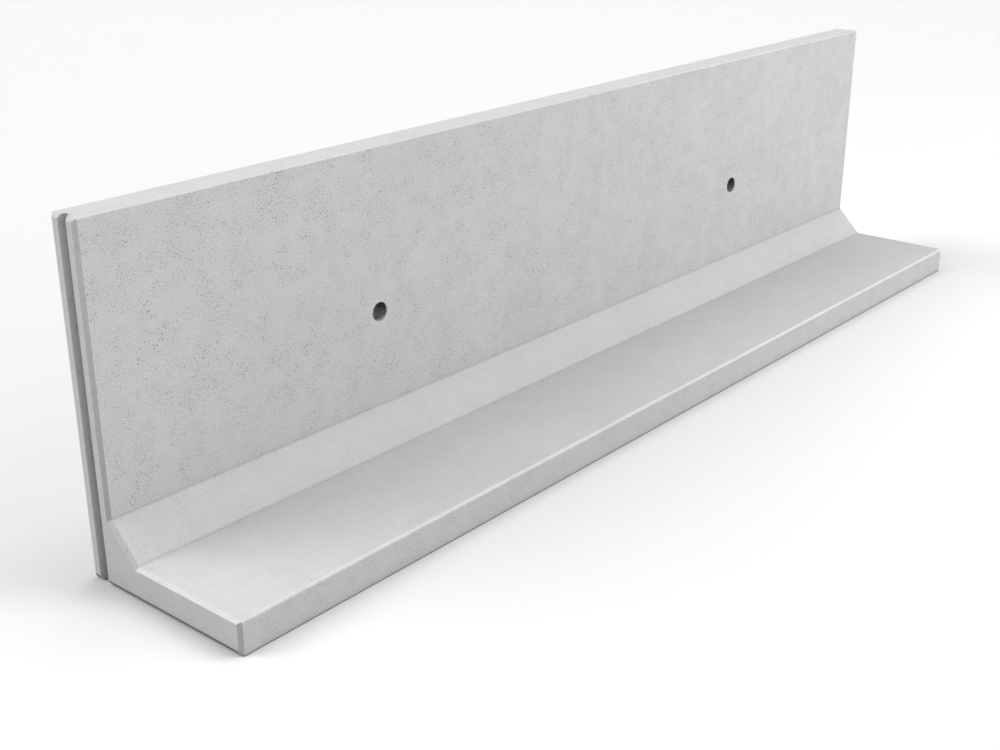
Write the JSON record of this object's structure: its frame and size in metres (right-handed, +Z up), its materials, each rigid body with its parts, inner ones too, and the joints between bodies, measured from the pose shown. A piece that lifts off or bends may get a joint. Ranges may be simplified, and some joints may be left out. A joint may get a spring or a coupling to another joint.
{
  "type": "retaining wall element",
  "caption": "Precast concrete retaining wall element of L section, with a haunch at the foot, chamfered ends, a joint groove down each end and round through holes.",
  "frame": {"origin": "middle of the base rectangle, at the level of the ground it stands on", "axes": "+X along the wall, +Y towards the front face, away from the foot, +Z up"},
  "size_m": [4, 0.6, 1],
  "materials": {
    "concrete": "matt fair-faced concrete, light grey, with small air holes"
  },
  "bodies": {
    "root": {"wall_element": "concrete"}
  },
  "joints": []
}
